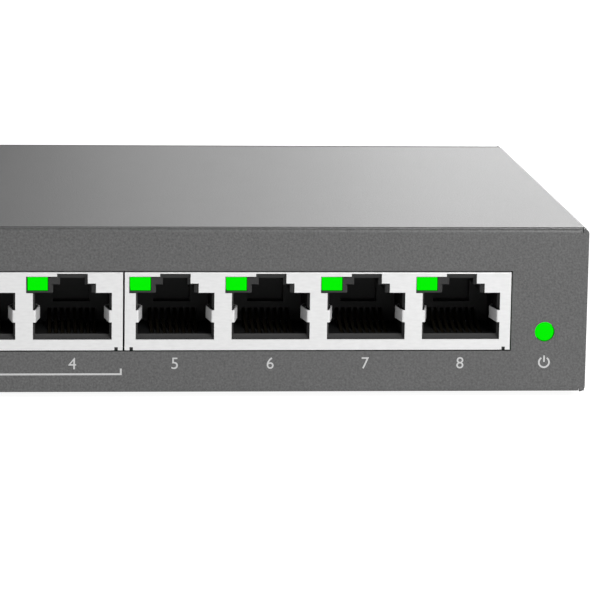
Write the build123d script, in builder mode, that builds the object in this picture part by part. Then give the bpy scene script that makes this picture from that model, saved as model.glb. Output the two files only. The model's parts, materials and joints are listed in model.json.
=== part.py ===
from build123d import *
import os

os.makedirs("parts", exist_ok=True)

# A desktop network switch with eight sockets: a bent steel tray and cover around one circuit board.
# X runs to the right seen from the front, Y to the back and Z up. The origin is on the surface
# that the feet stand on, under the middle of the body. All sizes are in millimetres.

# ---- Housing ----
body_width = 171.0
body_depth = 98.0
body_height = 26.5
sheet = 0.6  # steel thickness of tray and cover
bend_radius = sheet + 0.1  # outside of every bend
corner_radius = 0.85  # corners of the front and rear panels
relief_inset = 0.9  # the tray's bends stop this far short of the sides
relief_width = 0.12
lap_gap = 0.1  # between the cover and the flanges under it
lap_length = 7.0  # flange under the cover's front and rear edges
joggle_length = 0.7
lip_flat = 0.2
seam_gap = 0.1  # between the cover's skirt and the panels
flange_height = 10.0  # tray's side flanges, which take the cover screws

# ---- Feet and fasteners ----
foot_height = 1.0
foot_diameter = 11.0
foot_inset = 14.0
screw_diameter = 3.0
screw_fit = 0.02  # radial, between a screw and its tapped hole
screw_clearance = 0.15  # radial, where a screw passes through freely
screw_head_diameter = 5.6
screw_head_height = 1.5
recess_width = 0.9
recess_length = 3.2
recess_depth = 0.8
cover_screw_rise = 6.0  # above the tray's underside
cover_screw_inset = 15.0  # from the front and rear panels
cover_screw_length = 5.0

# ---- Circuit board ----
board_rise = 6.89  # upper face above the tray's underside
board_thickness = 1.6
board_side_gap = 2.6
board_front_gap = 2.4
board_back_gap = 2.6
board_notch_width = 4.2  # in the board's sides, for the cover screws' ends
board_notch_depth = 2.2
standoff_diameter = 5.5
standoff_shank = 4.2
standoff_side_inset = 15.5
standoff_front_inset = 23.0
standoff_back_inset = 13.0
board_screw_length = 4.8
film_thickness = 0.25
film_gap = 0.8

# ---- Socket modules ----
ports_per_module = 4
port_pitch = 15.24
opening_width = 12.46
module_margin = 1.745  # from the outer openings to the module's ends
module_height = 12.57
module_right_margin = 12.38  # from the body's side to the right module
module_gap = 0.3
cutout_clearance = 0.2
shield_thickness = 0.22
shield_length = 18.2
shield_fit = 0.04  # between a shield and the housing in it
housing_length = 16.9
notch_inset = 1.05
notch_width = 0.55
notch_height = 0.5
shield_tab_width = 1.5
shield_tab_length = 3.0

# Heights in a socket are above the circuit board.
opening_bottom = 1.71
opening_top = 9.28
shoulder_width = 7.44
shoulder_top = 10.76
latch_width = 4.84
latch_top = 12.33
cavity_width = 11.8
cavity_floor = 2.46
cavity_top = 9.2
cavity_depth = 12.5
shoulder_cavity_width = 6.1
shoulder_cavity_top = 10.5
latch_cavity_width = 3.92
latch_cavity_top = 11.6
lead_in = 0.6  # depth of the bevels around a socket's mouth
floor_lead_in = 1.0
recess_half_width = 2.95
recess_bottom = 5.6
recess_into_wall = 1.8

# Spring fingers of the shield, one each side of every socket.
finger_bottom = 4.49
finger_height = 1.95
finger_flat = 0.35
finger_run = 4.3
finger_lean = 0.7
finger_tail = 1.6
finger_pocket_depth = 7.5
finger_pocket_reach = 0.85
finger_pocket_play = 0.25

# Lamps in the sockets' upper left corners.
lamp_width = 3.16
lamp_height = 2.0
lamp_length = 6.0
lamp_offset = -5.48
lamp_bottom = 9.62
lamp_play = 0.12
lamp_lead = 0.45
lamp_lead_pitch = 1.7

# ---- Contacts ----
contacts = 8
contact_pitch = 1.016
wire_width = 0.45
wire_thickness = 0.3
groove_play = 0.1  # each side of a wire
bend_mid_radius = 0.55
pivot_depth = 2.75  # behind the module's front face
pivot_height = 1.55  # above the board
contact_slope = 12.0  # degrees, free end up
contact_reach = 10.5
comb_top = 4.6
comb_depth = 1.3
split_angle = 6.0  # degrees left open between a wire's fixed run and its springing part
tail_depth_even = 14.6
tail_depth_odd = 15.9
tail_pocket_width = 9.2
tail_pocket_top = 2.2
tail_below_board = 1.2
tail_hole = 0.9

# ---- Power lamp ----
power_lamp_diameter = 3.0
power_lamp_hole = 3.2
power_lamp_side_inset = 6.76  # from the body's side
power_lamp_rise = board_rise + 2.89  # above the tray's underside
power_lamp_length = 5.2
power_lamp_flange = 3.8
power_lamp_dome = 0.4  # rounding of its front edge
spacer_width = 5.0
spacer_depth = 4.0
power_lead_pitch = 2.54

# ---- Power inlet ----
inlet_width = 9.0
inlet_height = 11.0
inlet_length = 14.2
inlet_x = 62.0
inlet_bore = 6.3
inlet_bore_depth = 10.0
inlet_bore_rise = 6.4
inlet_pin_diameter = 2.0
inlet_pin_length = 8.6
inlet_flange = 1.6
inlet_spring_width = 2.4
inlet_blade = 0.5
inlet_clearance = 0.25

# ---- Parts on the board ----
transformer_length = 27.0
transformer_width = 13.0
transformer_height = 5.8
transformer_gap = 2.5
leg_height = 0.4
leg_width = 0.6
leg_reach = 1.4
leg_pitch = 2.0
legs_per_side = 12
chip_width = 14.0
chip_height = 1.2
pad_thickness = 0.5
heatsink_width = 24.0
heatsink_height = 9.0
heatsink_base = 2.0
heatsink_fins = 8
fin_thickness = 1.2
capacitor_diameter = 10.0
capacitor_height = 12.0
heatsink_clearance = 1.0  # least gap between the heatsink and the row of power parts behind it
inductor_width = 12.0
inductor_height = 6.5

# ---- Wall and lock openings ----
keyhole_spacing = 100.0
keyhole_diameter = 7.6
keyhole_slot_width = 4.0
keyhole_slot_length = 6.0
lock_slot_length = 7.0
lock_slot_height = 3.0
lock_slot_x = -50.0
vent_width = 1.8
vent_height = 9.0
vent_pitch = 4.0
vent_count = 15
vent_rise = 17.5

# ---- Places that follow from the sizes above ----
side_x = body_width / 2
front_y = -body_depth / 2
back_y = body_depth / 2
base_z = foot_height
top_z = base_z + body_height
floor_z = base_z + sheet
roof_z = top_z - sheet
bend_mid = bend_radius - sheet / 2
wall_mid = back_y - sheet / 2
bend_end_x = side_x - relief_inset - relief_width
flange_x = side_x - sheet - lap_gap
joggle_y = back_y - bend_radius - lip_flat
cover_end_y = joggle_y - joggle_length - 0.1
lip_mid_z = top_z - sheet / 2
flange_mid_z = roof_z - lap_gap - sheet / 2

board_top = base_z + board_rise
board_bottom = board_top - board_thickness
board_width = body_width - 2 * board_side_gap - 2 * sheet
board_front = front_y + board_front_gap
board_back = back_y - board_back_gap
board_depth = board_back - board_front
board_y = (board_front + board_back) / 2
standoff_x = side_x - standoff_side_inset
standoff_front = front_y + standoff_front_inset
standoff_back = back_y - standoff_back_inset
standoff_spots = [(x, y) for x in (-standoff_x, standoff_x) for y in (standoff_front, standoff_back)]

module_width = (ports_per_module - 1) * port_pitch + opening_width + 2 * module_margin
module_top = board_top + module_height
right_module_x = side_x - module_right_margin - module_width / 2
left_module_x = right_module_x - module_width - module_gap
modules = {"left": left_module_x, "right": right_module_x}
port_offsets = [(i - (ports_per_module - 1) / 2) * port_pitch for i in range(ports_per_module)]
contact_offsets = [(i - (contacts - 1) / 2) * contact_pitch for i in range(contacts)]
tail_offsets = {
    tail_depth_even: contact_offsets[0::2],
    tail_depth_odd: contact_offsets[1::2],
}

lamp_lead_depth = (housing_length + shield_length) / 2
power_lamp_x = side_x - power_lamp_side_inset
power_lamp_z = base_z + power_lamp_rise
lamp_back_y = front_y + sheet + power_lamp_length
inlet_axis_z = board_top + inlet_bore_rise


def block(x, y, z, mode=Mode.ADD, repeats=(0.0,)):
    """A box between two values of X, two of Y and two of Z, repeated at the given shifts in X."""
    middle_y = (y[0] + y[1]) / 2
    middle_z = (z[0] + z[1]) / 2
    with Locations(*[((x[0] + x[1]) / 2 + shift, middle_y, middle_z) for shift in repeats]):
        Box(abs(x[1] - x[0]), abs(y[1] - y[0]), abs(z[1] - z[0]), mode=mode)


# ---- Base tray ----
# One strip of sheet makes the floor, both panels and the joggled flanges under the cover.
# A second one crosses it with the side flanges. The panels' ends reach out to the full width.
with BuildPart() as base_tray:
    with BuildSketch(Plane.YZ.offset(-bend_end_x)):
        with BuildLine():
            FilletPolyline(
                (-joggle_y + joggle_length + lap_length, flange_mid_z),
                (-joggle_y + joggle_length, flange_mid_z),
                (-joggle_y, lip_mid_z),
                (-wall_mid, lip_mid_z),
                (-wall_mid, base_z + sheet / 2),
                (wall_mid, base_z + sheet / 2),
                (wall_mid, lip_mid_z),
                (joggle_y, lip_mid_z),
                (joggle_y - joggle_length, flange_mid_z),
                (joggle_y - joggle_length - lap_length, flange_mid_z),
                radius=[0.3, 0.3, bend_mid, bend_mid, bend_mid, bend_mid, 0.3, 0.3],
            )
        trace(line_width=sheet)
    extrude(amount=2 * bend_end_x)
    with BuildSketch(Plane.XZ.offset(joggle_y - joggle_length - lap_length)):
        with BuildLine():
            FilletPolyline(
                (-flange_x + sheet / 2, base_z + flange_height),
                (-flange_x + sheet / 2, base_z + sheet / 2),
                (flange_x - sheet / 2, base_z + sheet / 2),
                (flange_x - sheet / 2, base_z + flange_height),
                radius=bend_mid,
            )
        trace(line_width=sheet)
    extrude(amount=-2 * (joggle_y - joggle_length - lap_length))
    for panel_plane in (Plane.XZ.offset(wall_mid - sheet / 2), Plane.XZ.offset(-wall_mid - sheet / 2)):
        with BuildSketch(panel_plane):
            with Locations((0, base_z + body_height / 2)):
                RectangleRounded(body_width, body_height, corner_radius)
            with Locations((0, top_z), (0, base_z)):
                Rectangle(2 * (bend_end_x + relief_width), 2 * bend_radius, mode=Mode.SUBTRACT)
        extrude(amount=sheet)
    # cut-out for the two socket modules, and the lamp's hole
    block(
        (
            left_module_x - module_width / 2 - cutout_clearance,
            right_module_x + module_width / 2 + cutout_clearance,
        ),
        (front_y - sheet, front_y + 2 * sheet),
        (board_top - cutout_clearance, module_top + cutout_clearance),
        Mode.SUBTRACT,
    )
    with BuildSketch(Plane.XZ.offset(-front_y)):
        with Locations((power_lamp_x, power_lamp_z)):
            Circle(power_lamp_hole / 2)
    extrude(amount=-2 * sheet, mode=Mode.SUBTRACT)
    # the inlet's window and the lock slot in the rear panel
    with BuildSketch(Plane.XZ.offset(-back_y)):
        with Locations((inlet_x, board_top + inlet_height / 2)):
            Rectangle(inlet_width + 2 * inlet_clearance, inlet_height + 2 * inlet_clearance)
        with Locations((lock_slot_x, base_z + body_height / 2)):
            SlotOverall(lock_slot_length, lock_slot_height)
    extrude(amount=2 * sheet, mode=Mode.SUBTRACT)
    # stand-off holes and wall keyholes in the floor
    with BuildSketch(Plane.XY.offset(base_z)):
        with Locations(*standoff_spots):
            Circle(standoff_shank / 2)
        with GridLocations(keyhole_spacing, 0, 2, 1):
            Circle(keyhole_diameter / 2)
        with Locations(
            (-keyhole_spacing / 2, keyhole_slot_length / 2),
            (keyhole_spacing / 2, keyhole_slot_length / 2),
        ):
            SlotOverall(keyhole_slot_length + keyhole_slot_width, keyhole_slot_width, rotation=90)
    extrude(amount=sheet, mode=Mode.SUBTRACT)
    # tapped holes for the cover screws
    with BuildSketch(Plane.YZ.offset(-side_x)):
        with GridLocations(body_depth - 2 * cover_screw_inset, 0, 2, 1):
            with Locations((0, base_z + cover_screw_rise)):
                Circle(screw_diameter / 2)
    extrude(amount=body_width, mode=Mode.SUBTRACT)
base_tray.part.label = "base_tray"
export_step(base_tray.part, "parts/base_tray.step")

# ---- Top cover ----
with BuildPart() as top_cover:
    with BuildSketch(Plane.XZ.offset(wall_mid - sheet / 2 - seam_gap)):
        with BuildLine():
            FilletPolyline(
                (-side_x + sheet / 2, base_z),
                (-side_x + sheet / 2, top_z - sheet / 2),
                (side_x - sheet / 2, top_z - sheet / 2),
                (side_x - sheet / 2, base_z),
                radius=bend_mid,
            )
        trace(line_width=sheet)
    extrude(amount=-2 * (wall_mid - sheet / 2 - seam_gap))
    for end in (-1, 1):
        block(
            (-side_x, side_x),
            (end * cover_end_y, end * body_depth),
            (top_z - bend_radius, top_z),
            Mode.SUBTRACT,
        )
    with BuildSketch(Plane.YZ.offset(-side_x)):
        with GridLocations(body_depth - 2 * cover_screw_inset, 0, 2, 1):
            with Locations((0, base_z + cover_screw_rise)):
                Circle(screw_diameter / 2 + screw_clearance)
        with Locations((0, base_z + vent_rise)):
            with GridLocations(vent_pitch, 0, vent_count, 1):
                SlotOverall(vent_height, vent_width, rotation=90)
    extrude(amount=body_width, mode=Mode.SUBTRACT)
top_cover.part.label = "top_cover"
export_step(top_cover.part, "parts/top_cover.step")

# ---- Cover screws ----
with BuildPart() as cover_screws:
    for side in (-1, 1):
        for end in (-1, 1):
            head_plane = Plane(
                origin=(side * side_x, end * (back_y - cover_screw_inset), base_z + cover_screw_rise),
                x_dir=(0, 1, 0),
                z_dir=(side, 0, 0),
            )
            with BuildSketch(head_plane):
                Circle(screw_head_diameter / 2)
            extrude(amount=screw_head_height)
            with BuildSketch(head_plane):
                Circle(screw_diameter / 2 - screw_fit)
            extrude(amount=-cover_screw_length)
            with BuildSketch(head_plane.offset(screw_head_height - recess_depth)):
                Rectangle(recess_length, recess_width)
                Rectangle(recess_width, recess_length)
            extrude(amount=recess_depth, mode=Mode.SUBTRACT)
    for side in (Axis.X, -Axis.X):
        rims = cover_screws.edges().filter_by(GeomType.CIRCLE).group_by(side)[-1]
        fillet(rims, 0.5)
cover_screws.part.label = "cover_screws"
export_step(cover_screws.part, "parts/cover_screws.step")

# ---- Feet ----
for foot_name, foot_x, foot_y in (
    ("foot_front_left", -side_x + foot_inset, front_y + foot_inset),
    ("foot_front_right", side_x - foot_inset, front_y + foot_inset),
    ("foot_back_left", -side_x + foot_inset, back_y - foot_inset),
    ("foot_back_right", side_x - foot_inset, back_y - foot_inset),
):
    with BuildPart() as foot:
        with BuildSketch(Plane.XY):
            with Locations((foot_x, foot_y)):
                Circle(foot_diameter / 2)
        extrude(amount=foot_height)
        chamfer(foot.edges().group_by(Axis.Z)[0], 0.3)
    foot.part.label = foot_name
    export_step(foot.part, f"parts/{foot_name}.step")

# ---- Insulating film on the tray's floor ----
with BuildPart() as insulating_film:
    with BuildSketch(Plane.XY.offset(floor_z)):
        with Locations((0, board_y)):
            RectangleRounded(board_width - 2 * film_gap, board_depth - 2 * film_gap, 2.0)
        with Locations(*standoff_spots):
            Circle(standoff_diameter / 2 + film_gap, mode=Mode.SUBTRACT)
        with Locations(
            (-keyhole_spacing / 2, keyhole_slot_length / 2),
            (keyhole_spacing / 2, keyhole_slot_length / 2),
        ):
            Rectangle(
                keyhole_diameter + 2 * film_gap,
                keyhole_slot_length + keyhole_diameter + 4 * film_gap,
                mode=Mode.SUBTRACT,
            )
    extrude(amount=film_thickness)
insulating_film.part.label = "insulating_film"
export_step(insulating_film.part, "parts/insulating_film.step")

# ---- Stand-offs, swaged into the floor ----
with BuildPart() as board_standoffs:
    with BuildSketch(Plane.XY.offset(floor_z)):
        with Locations(*standoff_spots):
            RegularPolygon(standoff_diameter / 2, 6)
    extrude(amount=board_bottom - floor_z)
    with BuildSketch(Plane.XY.offset(base_z)):
        with Locations(*standoff_spots):
            Circle(standoff_shank / 2)
    extrude(amount=sheet)
    with BuildSketch(Plane.XY.offset(base_z)):
        with Locations(*standoff_spots):
            Circle(screw_diameter / 2)
    extrude(amount=board_rise, mode=Mode.SUBTRACT)
board_standoffs.part.label = "board_standoffs"
export_step(board_standoffs.part, "parts/board_standoffs.step")

# ---- Board screws ----
with BuildPart() as board_screws:
    with BuildSketch(Plane.XY.offset(board_top)):
        with Locations(*standoff_spots):
            Circle(screw_head_diameter / 2)
    extrude(amount=screw_head_height)
    fillet(board_screws.edges().group_by(Axis.Z)[-1], 0.5)
    with BuildSketch(Plane.XY.offset(board_top)):
        with Locations(*standoff_spots):
            Circle(screw_diameter / 2 - screw_fit)
    extrude(amount=-board_screw_length)
    with BuildSketch(Plane.XY.offset(board_top + screw_head_height - recess_depth)):
        with Locations(*standoff_spots):
            Rectangle(recess_length, recess_width)
            Rectangle(recess_width, recess_length)
    extrude(amount=recess_depth, mode=Mode.SUBTRACT)
board_screws.part.label = "board_screws"
export_step(board_screws.part, "parts/board_screws.step")

# ---- Circuit board ----
with BuildPart() as main_board:
    with BuildSketch(Plane.XY.offset(board_bottom)):
        with Locations((0, board_y)):
            RectangleRounded(board_width, board_depth, 1.5)
        with Locations(*standoff_spots):
            Circle(screw_diameter / 2 + screw_clearance, mode=Mode.SUBTRACT)
        with GridLocations(board_width, body_depth - 2 * cover_screw_inset, 2, 2):
            RectangleRounded(2 * board_notch_depth, board_notch_width, 1.0, mode=Mode.SUBTRACT)
        with Locations((power_lamp_x, lamp_back_y + spacer_depth + 2 * lamp_lead)):
            with GridLocations(power_lead_pitch, 0, 2, 1):
                Circle(tail_hole / 2, mode=Mode.SUBTRACT)
        for module_x in modules.values():
            for port_offset in port_offsets:
                for tail_depth, offsets in tail_offsets.items():
                    with Locations(*[(module_x + port_offset + x, front_y + tail_depth) for x in offsets]):
                        Circle(tail_hole / 2, mode=Mode.SUBTRACT)
                with Locations((module_x + port_offset + lamp_offset, front_y + lamp_lead_depth)):
                    with GridLocations(lamp_lead_pitch, 0, 2, 1):
                        Circle(tail_hole / 2, mode=Mode.SUBTRACT)
            with Locations((module_x, front_y + shield_length / 2)):
                with GridLocations(module_width - shield_thickness, shield_length / 2, 2, 2):
                    Rectangle(2 * tail_hole, shield_tab_width + 0.4, mode=Mode.SUBTRACT)
    extrude(amount=board_thickness)
main_board.part.label = "main_board"
export_step(main_board.part, "parts/main_board.step")


# ---- Socket housings ----
# Mouths, inside out: outer and inner width, outer and inner (bottom, top), depth of the bevel.
mouths = (
    (opening_width, cavity_width, (opening_bottom, opening_top), (cavity_floor, cavity_top), floor_lead_in),
    (
        shoulder_width - 0.2,
        shoulder_cavity_width,
        (cavity_top, shoulder_top),
        (cavity_top, shoulder_cavity_top),
        lead_in,
    ),
    (
        latch_width,
        latch_cavity_width,
        (shoulder_cavity_top, latch_top),
        (shoulder_cavity_top, latch_cavity_top),
        lead_in,
    ),
)
groove_bottom = pivot_height - bend_mid_radius - wire_thickness / 2
comb_end = cavity_depth + comb_depth
tail_pocket_start = comb_end + 0.3

for side_name, module_x in modules.items():
    with BuildPart() as housing:
        block(
            (
                module_x - module_width / 2 + shield_thickness + shield_fit,
                module_x + module_width / 2 - shield_thickness - shield_fit,
            ),
            (front_y + shield_thickness + shield_fit, front_y + housing_length),
            (board_top, module_top - shield_thickness - shield_fit),
        )
        port_spots = [module_x + port_offset for port_offset in port_offsets]
        wire_spots = [port_x + offset_x for port_x in port_spots for offset_x in contact_offsets]
        # the cavity, stepped for a plug's latch
        for width, top in (
            (cavity_width, cavity_top),
            (shoulder_cavity_width, shoulder_cavity_top),
            (latch_cavity_width, latch_cavity_top),
        ):
            block(
                (-width / 2, width / 2),
                (front_y, front_y + cavity_depth),
                (board_top + cavity_floor, board_top + top),
                Mode.SUBTRACT,
                port_spots,
            )
        # bevels around the mouth
        for outer_width, inner_width, outer_span, inner_span, bevel in mouths:
            for port_x in port_spots:
                with BuildSketch(Plane.XZ.offset(-front_y)):
                    with Locations((port_x, board_top + sum(outer_span) / 2)):
                        Rectangle(outer_width, outer_span[1] - outer_span[0])
                with BuildSketch(Plane.XZ.offset(-front_y - bevel)):
                    with Locations((port_x, board_top + sum(inner_span) / 2)):
                        Rectangle(inner_width, inner_span[1] - inner_span[0])
                loft(mode=Mode.SUBTRACT)
        # recess in the rear wall
        block(
            (-recess_half_width, recess_half_width),
            (front_y + cavity_depth, front_y + cavity_depth + recess_into_wall),
            (board_top + recess_bottom, board_top + cavity_top),
            Mode.SUBTRACT,
            port_spots,
        )
        # pocket for the contacts' tails, open below and behind
        block(
            (-tail_pocket_width / 2, tail_pocket_width / 2),
            (front_y + tail_pocket_start, front_y + housing_length),
            (board_top, board_top + tail_pocket_top),
            Mode.SUBTRACT,
            port_spots,
        )
        # grooves along the floor, and the comb that guides the free ends
        block(
            (-wire_width / 2 - groove_play, wire_width / 2 + groove_play),
            (front_y + pivot_depth - bend_mid_radius - wire_thickness, front_y + tail_pocket_start),
            (board_top + groove_bottom, board_top + cavity_floor),
            Mode.SUBTRACT,
            wire_spots,
        )
        block(
            (-wire_width / 2 - groove_play, wire_width / 2 + groove_play),
            (front_y + cavity_depth, front_y + comb_end),
            (board_top + groove_bottom, board_top + comb_top),
            Mode.SUBTRACT,
            wire_spots,
        )
        # channel for the lamp
        block(
            (lamp_offset - lamp_width / 2 - lamp_play, lamp_offset + lamp_width / 2 + lamp_play),
            (front_y, front_y + housing_length),
            (board_top + lamp_bottom - lamp_play, board_top + lamp_bottom + lamp_height + lamp_play),
            Mode.SUBTRACT,
            port_spots,
        )
        # pockets that the shield's fingers spring into
        block(
            (-cavity_width / 2 - finger_pocket_reach, cavity_width / 2 + finger_pocket_reach),
            (front_y, front_y + finger_pocket_depth),
            (
                board_top + finger_bottom - finger_pocket_play,
                board_top + finger_bottom + finger_height + finger_pocket_play,
            ),
            Mode.SUBTRACT,
            port_spots,
        )
    housing.part.label = f"jack_housing_{side_name}"
    export_step(housing.part, f"parts/jack_housing_{side_name}.step")

# ---- Shields ----
for side_name, module_x in modules.items():
    with BuildPart() as shield:
        block(
            (module_x - module_width / 2, module_x + module_width / 2),
            (front_y, front_y + shield_length),
            (board_top, module_top),
        )
        fillet(shield.edges().filter_by(Axis.X).group_by(Axis.Z)[-1], 0.2)
        block(
            (module_x - module_width / 2 + shield_thickness, module_x + module_width / 2 - shield_thickness),
            (front_y + shield_thickness, front_y + shield_length - shield_thickness),
            (board_top, module_top - shield_thickness),
            Mode.SUBTRACT,
        )
        with BuildSketch(Plane.XZ.offset(-front_y)):
            for port_offset in port_offsets:
                lamp_left = port_offset + lamp_offset - lamp_width / 2 - 2 * lamp_play
                with BuildLine():
                    Polyline(
                        (module_x + port_offset - opening_width / 2, board_top + opening_bottom),
                        (module_x + port_offset + opening_width / 2, board_top + opening_bottom),
                        (module_x + port_offset + opening_width / 2, board_top + opening_top),
                        (module_x + port_offset + shoulder_width / 2, board_top + opening_top),
                        (module_x + port_offset + shoulder_width / 2, board_top + shoulder_top),
                        (module_x + port_offset + latch_width / 2, board_top + shoulder_top),
                        (module_x + port_offset + latch_width / 2, board_top + latch_top),
                        (module_x + port_offset - latch_width / 2, board_top + latch_top),
                        (
                            module_x + port_offset - latch_width / 2,
                            board_top + lamp_bottom + lamp_height + 2 * lamp_play,
                        ),
                        (module_x + lamp_left, board_top + lamp_bottom + lamp_height + 2 * lamp_play),
                        (module_x + lamp_left, board_top + opening_top - 0.1),
                        (module_x + port_offset - opening_width / 2, board_top + opening_top - 0.1),
                        close=True,
                    )
                make_face()
        extrude(amount=-shield_thickness, mode=Mode.SUBTRACT)
        # notches in the front edge that rests on the board
        block(
            (-notch_width / 2, notch_width / 2),
            (front_y, front_y + shield_thickness),
            (board_top, board_top + notch_height),
            Mode.SUBTRACT,
            (module_x - module_width / 2 + notch_inset, module_x + module_width / 2 - notch_inset),
        )
        # solder tabs through the board
        for tab_y in (front_y + shield_length / 4, front_y + 3 * shield_length / 4):
            block(
                (-shield_thickness / 2, shield_thickness / 2),
                (tab_y - shield_tab_width / 2, tab_y + shield_tab_width / 2),
                (board_top - shield_tab_length, board_top),
                Mode.ADD,
                (
                    module_x - module_width / 2 + shield_thickness / 2,
                    module_x + module_width / 2 - shield_thickness / 2,
                ),
            )
        # spring fingers, folded back from the openings' sides
        with BuildSketch(Plane.XY.offset(board_top + finger_bottom)):
            for port_offset in port_offsets:
                for end in (-1, 1):
                    edge_x = module_x + port_offset + end * opening_width / 2
                    turn_x = edge_x - end * finger_flat
                    with BuildLine():
                        FilletPolyline(
                            (edge_x + end * shield_thickness, front_y + shield_thickness / 2),
                            (turn_x, front_y + shield_thickness / 2),
                            (turn_x - end * finger_lean, front_y + finger_run),
                            (turn_x, front_y + finger_run + finger_tail),
                            radius=[0.2, 0.6],
                        )
                    trace(line_width=shield_thickness)
        extrude(amount=finger_height)
    shield.part.label = f"jack_shield_{side_name}"
    export_step(shield.part, f"parts/jack_shield_{side_name}.step")

# ---- Contacts ----
# Each wire is bent round at the front of the socket's floor. The part behind the bend springs.
lower_z = board_top + pivot_height - bend_mid_radius
pivot_y = front_y + pivot_depth
pivot_z = board_top + pivot_height

for side_name, module_x in modules.items():
    with BuildPart() as terminals:
        for tail_depth, offsets in tail_offsets.items():
            wire_edges = [module_x + port_x + x - wire_width / 2 for port_x in port_offsets for x in offsets]
            with BuildSketch(*[Plane.YZ.offset(edge) for edge in wire_edges]):
                with BuildLine():
                    FilletPolyline(
                        (pivot_y, lower_z),
                        (front_y + tail_depth, lower_z),
                        (front_y + tail_depth, board_bottom - tail_below_board),
                        radius=0.3,
                    )
                trace(line_width=wire_thickness)
            extrude(amount=wire_width)
    terminals.part.label = f"jack_terminals_{side_name}"
    export_step(terminals.part, f"parts/jack_terminals_{side_name}.step")

port_places = [module_x + port_offset for module_x in modules.values() for port_offset in port_offsets]
for port_number, port_x in enumerate(port_places, start=1):
    with BuildPart() as port_contacts:
        with BuildSketch(*[Plane.YZ.offset(port_x + x - wire_width / 2) for x in contact_offsets]):
            with BuildLine():
                turn = CenterArc(
                    (pivot_y, pivot_z),
                    bend_mid_radius,
                    90 + contact_slope,
                    180 - contact_slope - split_angle,
                )
                Line(turn @ 0, (turn @ 0) + Vector(contact_reach, 0).rotate(Axis.Z, contact_slope))
            trace(line_width=wire_thickness)
        extrude(amount=wire_width)
    port_contacts.part.label = f"port_{port_number}_contacts"
    export_step(port_contacts.part, f"parts/port_{port_number}_contacts.step")

# ---- Socket lamps ----
for port_number, port_x in enumerate(port_places, start=1):
    with BuildPart() as port_lamp:
        block(
            (port_x + lamp_offset - lamp_width / 2, port_x + lamp_offset + lamp_width / 2),
            (front_y + shield_thickness, front_y + shield_thickness + lamp_length),
            (board_top + lamp_bottom, board_top + lamp_bottom + lamp_height),
        )
        fillet(port_lamp.edges().group_by(Axis.Y)[0], 0.12)
    port_lamp.part.label = f"port_{port_number}_lamp"
    export_step(port_lamp.part, f"parts/port_{port_number}_lamp.step")

lead_z = board_top + lamp_bottom + lamp_height / 2
for side_name, module_x in modules.items():
    lead_edges = [
        module_x + port_offset + lamp_offset + lead_side * lamp_lead_pitch / 2 - lamp_lead / 2
        for port_offset in port_offsets
        for lead_side in (-1, 1)
    ]
    with BuildPart() as lamp_leads:
        with BuildSketch(*[Plane.YZ.offset(edge) for edge in lead_edges]):
            with BuildLine():
                FilletPolyline(
                    (front_y + shield_thickness + lamp_length, lead_z),
                    (front_y + lamp_lead_depth, lead_z),
                    (front_y + lamp_lead_depth, board_bottom - tail_below_board),
                    radius=0.4,
                )
            trace(line_width=lamp_lead)
        extrude(amount=lamp_lead)
    lamp_leads.part.label = f"lamp_leads_{side_name}"
    export_step(lamp_leads.part, f"parts/lamp_leads_{side_name}.step")

# ---- Power lamp ----
# A round lamp through the front panel, held by a spacer that stands on the board.
with BuildPart() as power_lamp:
    with BuildSketch(Plane.XZ.offset(-front_y - sheet)):
        with Locations((power_lamp_x, power_lamp_z)):
            Circle(power_lamp_diameter / 2)
    extrude(amount=sheet)
    fillet(power_lamp.edges().group_by(Axis.Y)[0], power_lamp_dome)
    with BuildSketch(Plane.XZ.offset(-front_y - sheet)):
        with Locations((power_lamp_x, power_lamp_z)):
            Circle(power_lamp_diameter / 2)
    extrude(amount=-power_lamp_length)
    with BuildSketch(Plane.XZ.offset(-lamp_back_y)):
        with Locations((power_lamp_x, power_lamp_z)):
            Circle(power_lamp_flange / 2)
    extrude(amount=1.0)
power_lamp.part.label = "power_lamp"
export_step(power_lamp.part, "parts/power_lamp.step")

with BuildPart() as power_lamp_spacer:
    block(
        (power_lamp_x - spacer_width / 2, power_lamp_x + spacer_width / 2),
        (lamp_back_y, lamp_back_y + spacer_depth),
        (board_top, power_lamp_z + spacer_width / 2),
    )
    with BuildSketch(Plane.XZ.offset(-lamp_back_y)):
        with Locations((power_lamp_x, power_lamp_z)):
            with GridLocations(power_lead_pitch, 0, 2, 1):
                Rectangle(lamp_lead + 2 * lamp_play, lamp_lead + 2 * lamp_play)
    extrude(amount=-spacer_depth, mode=Mode.SUBTRACT)
power_lamp_spacer.part.label = "power_lamp_spacer"
export_step(power_lamp_spacer.part, "parts/power_lamp_spacer.step")

with BuildPart() as power_lamp_leads:
    for lead_side in (-1, 1):
        lead_x = power_lamp_x + lead_side * power_lead_pitch / 2
        with BuildSketch(Plane.YZ.offset(lead_x - lamp_lead / 2)):
            with BuildLine():
                FilletPolyline(
                    (lamp_back_y, power_lamp_z),
                    (lamp_back_y + spacer_depth + 2 * lamp_lead, power_lamp_z),
                    (lamp_back_y + spacer_depth + 2 * lamp_lead, board_bottom - tail_below_board),
                    radius=0.4,
                )
            trace(line_width=lamp_lead)
        extrude(amount=lamp_lead)
power_lamp_leads.part.label = "power_lamp_leads"
export_step(power_lamp_leads.part, "parts/power_lamp_leads.step")

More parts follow.
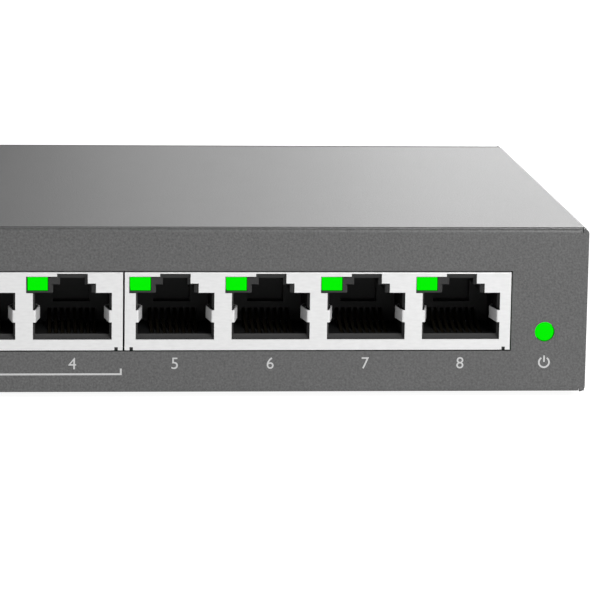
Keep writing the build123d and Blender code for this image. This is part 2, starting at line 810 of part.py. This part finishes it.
# ---- Power inlet ----
with BuildPart() as inlet_housing:
    block(
        (inlet_x - inlet_width / 2, inlet_x + inlet_width / 2),
        (back_y - inlet_length, back_y),
        (board_top, board_top + inlet_height),
    )
    fillet(inlet_housing.edges().filter_by(Axis.Y).group_by(Axis.Z)[-1], 1.0)
    with BuildSketch(Plane.XZ.offset(-back_y)):
        with Locations((inlet_x, inlet_axis_z)):
            Circle(inlet_bore / 2)
    extrude(amount=inlet_bore_depth, mode=Mode.SUBTRACT)
    # passage for the pin's root, and a slot for the spring contact under the bore
    with BuildSketch(Plane.XZ.offset(-back_y)):
        with Locations((inlet_x, inlet_axis_z)):
            Circle(inlet_pin_diameter / 2)
    extrude(amount=inlet_length, mode=Mode.SUBTRACT)
    block(
        (inlet_x - inlet_spring_width / 2 - 0.1, inlet_x + inlet_spring_width / 2 + 0.1),
        (back_y - inlet_bore_depth, back_y - inlet_flange),
        (board_top, inlet_axis_z),
        Mode.SUBTRACT,
    )
inlet_housing.part.label = "inlet_housing"
export_step(inlet_housing.part, "parts/inlet_housing.step")

with BuildPart() as inlet_pin:
    with BuildSketch(Plane.XZ.offset(-back_y + inlet_length)):
        with Locations((inlet_x, inlet_axis_z)):
            Circle(inlet_pin_diameter / 2)
    extrude(amount=-(inlet_length - inlet_bore_depth + inlet_pin_length))
    chamfer(inlet_pin.edges().group_by(Axis.Y)[-1], 0.3)
    # blade behind the housing, down to the board
    block(
        (inlet_x - inlet_pin_diameter / 2, inlet_x + inlet_pin_diameter / 2),
        (back_y - inlet_length - inlet_blade, back_y - inlet_length),
        (board_top, inlet_axis_z + inlet_pin_diameter / 2),
    )
inlet_pin.part.label = "inlet_pin"
export_step(inlet_pin.part, "parts/inlet_pin.step")

with BuildPart() as inlet_spring:
    with BuildSketch(Plane.YZ.offset(inlet_x - inlet_spring_width / 2)):
        with BuildLine():
            FilletPolyline(
                (back_y - inlet_flange - 0.3, board_top + 2.4),
                (back_y - 5.0, inlet_axis_z - inlet_bore / 2 + 0.4),
                (back_y - inlet_bore_depth + 0.4, board_top + 2.0),
                (back_y - inlet_bore_depth + 0.4, board_top),
                radius=0.5,
            )
        trace(line_width=0.35)
    extrude(amount=inlet_spring_width)
inlet_spring.part.label = "inlet_spring"
export_step(inlet_spring.part, "parts/inlet_spring.step")

# ---- Isolation transformers, in a row behind the sockets ----
transformer_y = front_y + shield_length + transformer_gap + transformer_width / 2
for number in range(1, 5):
    transformer_x = (number - 2.5) * (transformer_length + transformer_gap)
    with BuildPart() as transformer:
        with BuildSketch(Plane.XY.offset(board_top + leg_height)):
            with Locations((transformer_x, transformer_y)):
                Rectangle(transformer_length, transformer_width - 2 * leg_reach)
        extrude(amount=transformer_height - leg_height)
        chamfer(transformer.edges().group_by(Axis.Z)[-1], 0.4)
        # gull-wing legs along both long sides
        for side in (-1, 1):
            with Locations(
                (
                    transformer_x,
                    transformer_y + side * (transformer_width / 2 - leg_reach / 2),
                    board_top + leg_height / 2,
                )
            ):
                with GridLocations(leg_pitch, 0, legs_per_side, 1):
                    Box(leg_width, leg_reach, leg_height)
            with Locations(
                (
                    transformer_x,
                    transformer_y + side * (transformer_width / 2 - leg_reach),
                    board_top + leg_height / 2 + leg_height,
                )
            ):
                with GridLocations(leg_pitch, 0, legs_per_side, 1):
                    Box(leg_width, leg_height, 3 * leg_height)
    transformer_name = f"transformer_{number}"
    transformer.part.label = transformer_name
    export_step(transformer.part, f"parts/{transformer_name}.step")


def flat_part(label, x, y, size, height, lift=0.0, edge=0.2):
    """A flat moulded part on the board with bevelled upper edges, written to its own file."""
    with BuildPart() as piece:
        with BuildSketch(Plane.XY.offset(board_top + lift)):
            with Locations((x, y)):
                Rectangle(*size)
        extrude(amount=height)
        chamfer(piece.edges().group_by(Axis.Z)[-1], edge)
    piece.part.label = label
    export_step(piece.part, f"parts/{label}.step")


# ---- Chips and power parts ----
chip_row_y = transformer_y + transformer_width / 2 + transformer_gap + heatsink_width / 2
heatsink_back = chip_row_y + heatsink_width / 2
power_row_y = max(
    back_y - inlet_length - 6.0,
    heatsink_back + heatsink_clearance + capacitor_diameter / 2,
)
flat_part("switch_chip", 0.0, chip_row_y, (chip_width, chip_width), chip_height)
flat_part("thermal_pad", 0.0, chip_row_y, (chip_width, chip_width), pad_thickness, chip_height, 0.05)
flat_part("power_control_chip", 34.0, chip_row_y, (9.0, 9.0), 1.0)
flat_part("memory_chip", -20.0, chip_row_y + 4.0, (5.0, 6.0), 1.6)
flat_part("crystal", -20.0, chip_row_y - 5.0, (11.0, 4.6), 3.4, 0.0, 0.8)
flat_part("regulator_chip", 20.0, power_row_y, (6.5, 7.0), 1.7)
flat_part("fuse", inlet_x - 13.0, power_row_y + 6.0, (6.2, 2.6), 2.4, 0.0, 0.3)
flat_part("surge_diode", inlet_x - 13.0, power_row_y, (4.6, 3.7), 2.3, 0.0, 0.3)
flat_part("power_inductor", 34.0, power_row_y, (inductor_width, inductor_width), inductor_height, 0.0, 1.0)

with BuildPart() as heatsink:
    with BuildSketch(Plane.XY.offset(board_top + chip_height + pad_thickness)):
        with Locations((0, chip_row_y)):
            Rectangle(heatsink_width, heatsink_width)
    extrude(amount=heatsink_base)
    with BuildSketch(Plane.XY.offset(board_top + chip_height + pad_thickness + heatsink_base)):
        with Locations((0, chip_row_y)):
            fin_pitch = (heatsink_width - fin_thickness) / (heatsink_fins - 1)
            with GridLocations(fin_pitch, 0, heatsink_fins, 1):
                Rectangle(fin_thickness, heatsink_width)
    extrude(amount=heatsink_height - heatsink_base)
heatsink.part.label = "heatsink"
export_step(heatsink.part, "parts/heatsink.step")

for number, capacitor_x in ((1, -2.0), (2, -2.0 - capacitor_diameter - 2.0)):
    with BuildPart() as capacitor:
        with BuildSketch(Plane.XY.offset(board_top)):
            with Locations((capacitor_x, power_row_y)):
                Circle(capacitor_diameter / 2)
        extrude(amount=capacitor_height)
        fillet(capacitor.edges().group_by(Axis.Z)[-1], 0.6)
        with BuildSketch(Plane.XY.offset(board_top + capacitor_height - 0.3)):
            with Locations((capacitor_x, power_row_y)):
                Rectangle(capacitor_diameter * 0.6, 0.3)
                Rectangle(0.3, capacitor_diameter * 0.6)
        extrude(amount=0.3, mode=Mode.SUBTRACT)
    capacitor_name = f"bulk_capacitor_{number}"
    capacitor.part.label = capacitor_name
    export_step(capacitor.part, f"parts/{capacitor_name}.step")

# small chip capacitors and resistors in two rows
with BuildPart() as chip_passives:
    for row_y in (chip_row_y - 9.0, chip_row_y + 9.0):
        with Locations((-46.0, row_y, board_top + 0.4), (56.0, row_y, board_top + 0.4)):
            with GridLocations(3.0, 0, 6, 1):
                Box(0.8, 1.6, 0.8)
chip_passives.part.label = "chip_passives"
export_step(chip_passives.part, "parts/chip_passives.step")
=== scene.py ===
import json
import math

import bmesh
import bpy
from mathutils import Matrix, Vector


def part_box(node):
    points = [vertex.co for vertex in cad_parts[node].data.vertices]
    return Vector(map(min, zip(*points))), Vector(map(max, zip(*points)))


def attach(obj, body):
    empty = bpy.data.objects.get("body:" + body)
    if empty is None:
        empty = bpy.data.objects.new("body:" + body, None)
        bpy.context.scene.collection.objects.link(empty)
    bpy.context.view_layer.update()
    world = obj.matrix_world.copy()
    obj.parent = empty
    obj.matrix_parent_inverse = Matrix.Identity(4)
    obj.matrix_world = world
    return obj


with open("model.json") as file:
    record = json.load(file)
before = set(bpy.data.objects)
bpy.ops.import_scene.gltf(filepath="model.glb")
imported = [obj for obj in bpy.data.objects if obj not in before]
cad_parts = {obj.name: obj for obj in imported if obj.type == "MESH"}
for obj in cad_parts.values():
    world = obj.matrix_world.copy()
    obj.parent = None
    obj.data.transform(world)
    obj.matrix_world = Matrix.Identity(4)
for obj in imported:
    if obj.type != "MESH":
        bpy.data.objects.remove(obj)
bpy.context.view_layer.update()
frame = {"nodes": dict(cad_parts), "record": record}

MM = 0.001


# ---------------------------------------------------------------- camera
def look(location, yaw, pitch, roll):
    """Camera matrix: yaw to the right of +Y, pitch below the horizon and roll, in degrees."""
    yaw, pitch, roll = (math.radians(a) for a in (yaw, pitch, roll))
    forward = Vector(
        (math.sin(yaw) * math.cos(pitch), math.cos(yaw) * math.cos(pitch), -math.sin(pitch))
    )
    level = Vector((math.cos(yaw), -math.sin(yaw), 0.0))
    above = level.cross(forward)
    right = math.cos(roll) * level + math.sin(roll) * above
    up = right.cross(forward)
    turn = Matrix((right, up, -forward)).transposed().to_4x4()
    return Matrix.Translation(location) @ turn


camera_data = bpy.data.cameras.new("camera")
camera = bpy.data.objects.new("camera", camera_data)
bpy.context.scene.collection.objects.link(camera)
camera_data.sensor_width = 36.0
camera_data.lens = 197.49  # mm, fitted together with the place and turn below
camera_data.clip_start = 0.05
camera_data.clip_end = 50.0
# place and turn fitted to edges measured in the photograph
CAMERA_PLACE = Vector((-5.16, -561.89, 110.35)) * MM
CAMERA_YAW, CAMERA_PITCH, CAMERA_ROLL = 4.952, 10.386, 0.870  # degrees
camera.matrix_world = look(CAMERA_PLACE, CAMERA_YAW, CAMERA_PITCH, CAMERA_ROLL)
bpy.context.scene.camera = camera
bpy.context.scene.view_settings.view_transform = "Standard"


# ---------------------------------------------------------------- materials
NOISE_LOW, NOISE_HIGH = 0.3, 0.7  # the part of a noise's range that carries its contrast
PATCH_SIZE = 14.0  # mm, of the slow patches in every finish


def grey(level):
    return (level, level, level)


def node(tree, kind, inputs=None, **settings):
    made = tree.nodes.new(kind)
    for key, value in settings.items():
        setattr(made, key, value)
    for key, value in (inputs or {}).items():
        made.inputs[key].default_value = value
    return made


def place(tree, scale, stretch=(1, 1, 1)):
    """Object coordinates, scaled so that one unit is a feature of the given size in mm."""
    where = node(tree, "ShaderNodeTexCoord")
    mapping = node(tree, "ShaderNodeMapping", {"Scale": [s / (scale * MM) for s in stretch]})
    tree.links.new(where.outputs["Object"], mapping.inputs["Vector"])
    return mapping.outputs["Vector"]


def noise(tree, size, stretch=(1, 1, 1), detail=3.0, roughness=0.55):
    settings = {"Scale": 1.0, "Detail": detail, "Roughness": roughness}
    made = node(tree, "ShaderNodeTexNoise", settings)
    tree.links.new(place(tree, size, stretch), made.inputs["Vector"])
    return made.outputs["Fac"]


def ramp(tree, value, stops):
    made = node(tree, "ShaderNodeValToRGB")
    elements = made.color_ramp.elements
    while len(elements) < len(stops):
        elements.new(0.5)
    for element, (at, colour) in zip(elements, stops):
        element.position = at
        element.color = (*colour, 1.0)
    tree.links.new(value, made.inputs["Fac"])
    return made.outputs["Color"]


def span(tree, value, low, high):
    """A noise value spread from low to high."""
    made = node(
        tree,
        "ShaderNodeMapRange",
        {"From Min": NOISE_LOW, "From Max": NOISE_HIGH, "To Min": low, "To Max": high},
    )
    tree.links.new(value, made.inputs["Value"])
    return made.outputs["Result"]


def blend_colours(tree, factor, first, second):
    """The first colour multiplied by the second, by factor."""
    made = node(tree, "ShaderNodeMix", data_type="RGBA", blend_type="MULTIPLY")
    made.inputs[0].default_value = factor
    tree.links.new(first, made.inputs[6])
    tree.links.new(second, made.inputs[7])
    return made.outputs[2]


def bump(tree, value, height):
    made = node(tree, "ShaderNodeBump", {"Distance": height * MM, "Strength": 1.0})
    tree.links.new(value, made.inputs["Height"])
    return made.outputs["Normal"]


def finish(
    name, dark, light, grain, rough, height, metallic=0.0, stretch=(1, 1, 1), patchy=0.25, **fixed
):
    """A grained surface: colour, roughness and bump by the grain, with slow patches over all."""
    made = bpy.data.materials.new(name)
    made.use_nodes = True
    tree = made.node_tree
    shader = tree.nodes["Principled BSDF"]
    fine = noise(tree, grain, stretch)
    slow = noise(tree, PATCH_SIZE, detail=2.0)
    colour = ramp(tree, fine, ((NOISE_LOW, dark), (NOISE_HIGH, light)))
    cloud = ramp(tree, slow, ((NOISE_LOW, grey(0.8)), (NOISE_HIGH, grey(1.0))))
    tree.links.new(blend_colours(tree, patchy, colour, cloud), shader.inputs["Base Color"])
    tree.links.new(span(tree, fine, *rough), shader.inputs["Roughness"])
    tree.links.new(bump(tree, fine, height), shader.inputs["Normal"])
    shader.inputs["Metallic"].default_value = metallic
    for key, value in fixed.items():
        shader.inputs[key.replace("_", " ")].default_value = value
    return made


FINISHES = {
    "painted_steel": finish("painted_steel", grey(0.044), grey(0.088), 0.34, (0.42, 0.52), 0.05),
    "screw_steel": finish("screw_steel", grey(0.45), grey(0.62), 0.3, (0.28, 0.42), 0.004, 1.0),
    "standoff_steel": finish(
        "standoff_steel", grey(0.5), grey(0.66), 0.4, (0.25, 0.4), 0.003, 1.0, (0.15, 0.15, 1)
    ),
    "foot_rubber": finish("foot_rubber", grey(0.018), grey(0.032), 0.25, (0.6, 0.8), 0.02),
    "film": finish("film", grey(0.5), grey(0.62), 0.8, (0.2, 0.32), 0.01),
    "board": finish("board", (0.005, 0.05, 0.02), (0.01, 0.085, 0.035), 0.5, (0.25, 0.4), 0.01),
    "socket_plastic": finish(
        "socket_plastic", grey(0.75), grey(1.0), 0.12, (0.5, 0.62), 0.006, Specular_IOR_Level=0.15
    ),
    "shield_metal": finish(
        "shield_metal",
        grey(0.55),
        grey(0.60),
        0.35,
        (0.42, 0.50),
        0.0004,
        0.35,
        (0.25, 1, 1),
        patchy=0.08,
    ),
    "tinned_wire": finish("tinned_wire", grey(0.5), grey(0.65), 0.3, (0.3, 0.45), 0.003, 1.0),
    # much darker than gold: painted shade, as the wires sit in the dark inside the sockets
    "contact_gold": finish(
        "contact_gold", (0.022, 0.018, 0.012), (0.034, 0.028, 0.018), 0.2, (0.5, 0.6), 0.002, 1.0
    ),
    "lamp_green": finish(
        "lamp_green",
        (0.0, 0.02, 0.0),
        (0.0, 0.04, 0.0),
        0.3,
        (0.5, 0.6),
        0.002,
        Emission_Color=(0.0, 0.84, 0.0, 1.0),
        Emission_Strength=1.0,
        Specular_IOR_Level=0.02,
    ),
    "spacer_plastic": finish("spacer_plastic", grey(0.02), grey(0.03), 0.2, (0.45, 0.6), 0.005),
    "inlet_plastic": finish("inlet_plastic", grey(0.012), grey(0.02), 0.15, (0.35, 0.5), 0.006),
    "inlet_metal": finish("inlet_metal", grey(0.55), grey(0.7), 0.3, (0.22, 0.36), 0.002, 1.0),
    "chip_black": finish("chip_black", grey(0.014), grey(0.026), 0.1, (0.5, 0.65), 0.006),
    "thermal_pad": finish(
        "thermal_pad", (0.22, 0.3, 0.38), (0.28, 0.36, 0.45), 0.4, (0.7, 0.85), 0.01
    ),
    "heatsink_aluminium": finish(
        "heatsink_aluminium", grey(0.5), grey(0.62), 0.6, (0.3, 0.45), 0.004, 1.0, (0.1, 1, 1)
    ),
    "can_aluminium": finish(
        "can_aluminium", grey(0.6), grey(0.72), 0.5, (0.25, 0.36), 0.002, 1.0, (1, 1, 0.1)
    ),
    "ferrite": finish("ferrite", grey(0.03), grey(0.045), 0.25, (0.55, 0.7), 0.01),
    "ceramic_chip": finish(
        "ceramic_chip", (0.32, 0.24, 0.15), (0.45, 0.35, 0.24), 0.15, (0.35, 0.5), 0.003
    ),
}


def by_depth(material, start, stops):
    """Paints light and shade into a material: multiplies its colour by a ramp over the depth in mm
    behind start.
    """
    tree = material.node_tree
    shader = tree.nodes["Principled BSDF"]
    where = node(tree, "ShaderNodeTexCoord")
    axes = node(tree, "ShaderNodeSeparateXYZ")
    tree.links.new(where.outputs["Object"], axes.inputs["Vector"])
    deepest = stops[-1][0]
    depth = node(tree, "ShaderNodeMapRange", {"From Min": start, "From Max": start + deepest * MM})
    tree.links.new(axes.outputs["Y"], depth.inputs["Value"])
    shades = [(at / deepest, grey(level)) for at, level in stops]
    shade = ramp(tree, depth.outputs["Result"], shades)
    plain = shader.inputs["Base Color"].links[0].from_socket
    tree.links.new(blend_colours(tree, 1.0, plain, shade), shader.inputs["Base Color"])


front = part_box("base_tray")[0].y
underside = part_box("base_tray")[0].z

# painted light and shade in the sockets: a painted highlight at the mouths, painted shade inside
# and a lighter back wall: (depth in mm, grey level)
SOCKET_PAINTED_SHADE = ((0.25, 0.030), (1.0, 0.045), (1.4, 0.006), (11.0, 0.006), (12.4, 0.030))
by_depth(FINISHES["socket_plastic"], front, SOCKET_PAINTED_SHADE)

for subpart in frame["record"]["subparts"]:
    piece = frame["nodes"][subpart["node"]]
    piece.data.materials.clear()
    piece.data.materials.append(FINISHES[subpart["material_slot"]])


# ---------------------------------------------------------------- printed legends
INK = finish("legend_ink", grey(0.36), grey(0.41), 0.12, (0.45, 0.6), 0.002)
INK_HEIGHT = 0.012 * MM  # of ink proud of the panel, and as much sunk into it


def printed(name, outlines):
    """One piece of ink on the front panel, from faces given as lists of (x, z) points in metres."""
    mesh = bmesh.new()
    for outline in outlines:
        corners = [mesh.verts.new((x, front - INK_HEIGHT, z)) for x, z in outline]
        mesh.faces.new(corners)
    bmesh.ops.remove_doubles(mesh, verts=mesh.verts, dist=1e-7)
    made = bmesh.ops.extrude_face_region(mesh, geom=list(mesh.faces))
    back = [v for v in made["geom"] if isinstance(v, bmesh.types.BMVert)]
    bmesh.ops.translate(mesh, verts=back, vec=(0, 2 * INK_HEIGHT, 0))
    bmesh.ops.recalc_face_normals(mesh, faces=mesh.faces)
    data = bpy.data.meshes.new(name)
    mesh.to_mesh(data)
    mesh.free()
    return add_piece(name, data)


def add_piece(name, data):
    piece = bpy.data.objects.new(name, data)
    bpy.context.scene.collection.objects.link(piece)
    data.materials.append(INK)
    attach(piece, "chassis")
    return piece


def digit(name, text, x, z, height):
    """A printed digit of the given height, centred on (x, z)."""
    curve = bpy.data.curves.new(name, "FONT")
    curve.body = text
    curve.extrude = INK_HEIGHT
    curve.resolution_u = 4
    holder = bpy.data.objects.new(name + "_outline", curve)
    bpy.context.scene.collection.objects.link(holder)
    depsgraph = bpy.context.evaluated_depsgraph_get()
    data = bpy.data.meshes.new_from_object(holder.evaluated_get(depsgraph))
    bpy.data.objects.remove(holder)
    data.name = name
    across = [v.co.x for v in data.vertices]
    along = [v.co.y for v in data.vertices]
    scale = height / (max(along) - min(along))
    centre = Vector(((max(across) + min(across)) / 2, (max(along) + min(along)) / 2, 0))
    data.transform(Matrix.Translation(-centre))
    data.transform(Matrix.Diagonal((scale, scale, 1.0, 1.0)))
    data.transform(Matrix.Rotation(math.radians(90), 4, "X"))
    data.transform(Matrix.Translation((x, front, z)))
    data.materials.clear()
    return add_piece(name, data)


def centre_of(name):
    low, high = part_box(name)
    return (low + high) / 2


DIGIT_HEIGHT = 1.85 * MM
DIGIT_RISE = 4.76 * MM  # centre above the body's underside
for port in range(1, 9):
    port_x = centre_of(f"port_{port}_contacts").x
    digit(f"legend_{port}", str(port), port_x, underside + DIGIT_RISE, DIGIT_HEIGHT)

# the bracket under sockets 1 to 4: a line with a tick up at each end
LINE = 0.3 * MM
BRACKET_END = 11.02 * MM  # x of its right end
BRACKET_RISE = 3.02 * MM  # middle of its line above the body's underside
TICK_RISE = 3.92 * MM  # top of its ticks
middle = (centre_of("port_1_contacts").x + centre_of("port_4_contacts").x) / 2
half = BRACKET_END - middle
low_z = underside + BRACKET_RISE - LINE / 2
high_z = underside + BRACKET_RISE + LINE / 2
tick_z = underside + TICK_RISE


def upright(x_1, x_2, z_1, z_2):
    """A rectangle on the panel."""
    return [(x_1, z_1), (x_2, z_1), (x_2, z_2), (x_1, z_2)]


bracket = []
for side in (-1, 1):
    end = middle + side * half
    inner = end - side * LINE
    bracket.append(upright(inner, end, low_z, high_z))
    bracket.append(upright(inner, end, high_z, tick_z))
bracket.append(upright(middle - half + LINE, middle + half - LINE, low_z, high_z))
printed("legend_bracket", bracket)

# the power symbol under its lamp: a ring open at the top, and a stroke in the gap
POWER_RADIUS = 0.82 * MM
STROKE = 0.27 * MM
STROKE_START, STROKE_END = 0.05 * MM, 1.1 * MM  # above the ring's centre
OPEN_ANGLE = 32.0  # degrees each side of the top
STEPS = 28
POWER_RISE = 4.82 * MM  # centre above the body's underside
power_x = centre_of("power_lamp").x
power_z = underside + POWER_RISE


def ring_point(step, radius):
    angle = math.radians(90 + OPEN_ANGLE + (360 - 2 * OPEN_ANGLE) * step / STEPS)
    return (power_x + radius * math.cos(angle), power_z + radius * math.sin(angle))


inside = POWER_RADIUS - STROKE / 2
outside = POWER_RADIUS + STROKE / 2
symbol = [
    [
        ring_point(step, inside),
        ring_point(step, outside),
        ring_point(step + 1, outside),
        ring_point(step + 1, inside),
    ]
    for step in range(STEPS)
]
stroke_low, stroke_high = power_z + STROKE_START, power_z + STROKE_END
symbol.append(upright(power_x - STROKE / 2, power_x + STROKE / 2, stroke_low, stroke_high))
printed("legend_power", symbol)


# ---------------------------------------------------------------- floor, world and lights
FLOOR_HALF = 4.0  # m
WORLD_STRENGTH = 0.28
floor_mesh = bmesh.new()
bmesh.ops.create_grid(floor_mesh, x_segments=1, y_segments=1, size=FLOOR_HALF)
floor_data = bpy.data.meshes.new("floor")
floor_mesh.to_mesh(floor_data)
floor_mesh.free()
floor = bpy.data.objects.new("floor", floor_data)
bpy.context.scene.collection.objects.link(floor)
FLOOR_PAINT = finish(
    "floor_paint",
    grey(0.20),
    grey(0.24),
    3.0,
    (0.7, 0.8),
    0.01,
    Emission_Color=(1.0, 1.0, 1.0, 1.0),
    Emission_Strength=0.93,
    Specular_IOR_Level=0.1,
)
floor_data.materials.append(FLOOR_PAINT)

world = bpy.data.worlds.new("studio")
bpy.context.scene.world = world
world.use_nodes = True
background = world.node_tree.nodes["Background"]
background.inputs["Color"].default_value = (1.0, 1.0, 1.0, 1.0)
background.inputs["Strength"].default_value = WORLD_STRENGTH


def softbox(name, location, target, size, power):
    """A rectangular light aimed at a target: places and sizes in m, power in W."""
    data = bpy.data.lights.new(name, "AREA")
    data.shape = "RECTANGLE"
    data.size, data.size_y = size
    data.energy = power
    light = bpy.data.objects.new(name, data)
    aim = (Vector(target) - Vector(location)).to_track_quat("-Z", "Y")
    light.matrix_world = Matrix.Translation(location) @ aim.to_matrix().to_4x4()
    light.visible_camera = False
    bpy.context.scene.collection.objects.link(light)


softbox("key", (0.55, -0.45, 0.75), (0.02, 0, 0.01), (0.5, 0.5), 2.5)
softbox("near_right", (0.27, -0.33, 0.26), (0.05, -0.05, 0.015), (0.24, 0.24), 2.1)
softbox("far_left", (-1.4, -0.55, 0.25), (0.04, -0.05, 0.015), (1.2, 0.9), 6.6)
softbox("sheen_edge", (0.065, 0.62, 0.22), (0.03, 0, 0.02), (0.10, 0.32), 0.17)
softbox("sheen", (0.295, 0.62, 0.22), (0.05, 0, 0.02), (0.38, 0.32), 1.75)
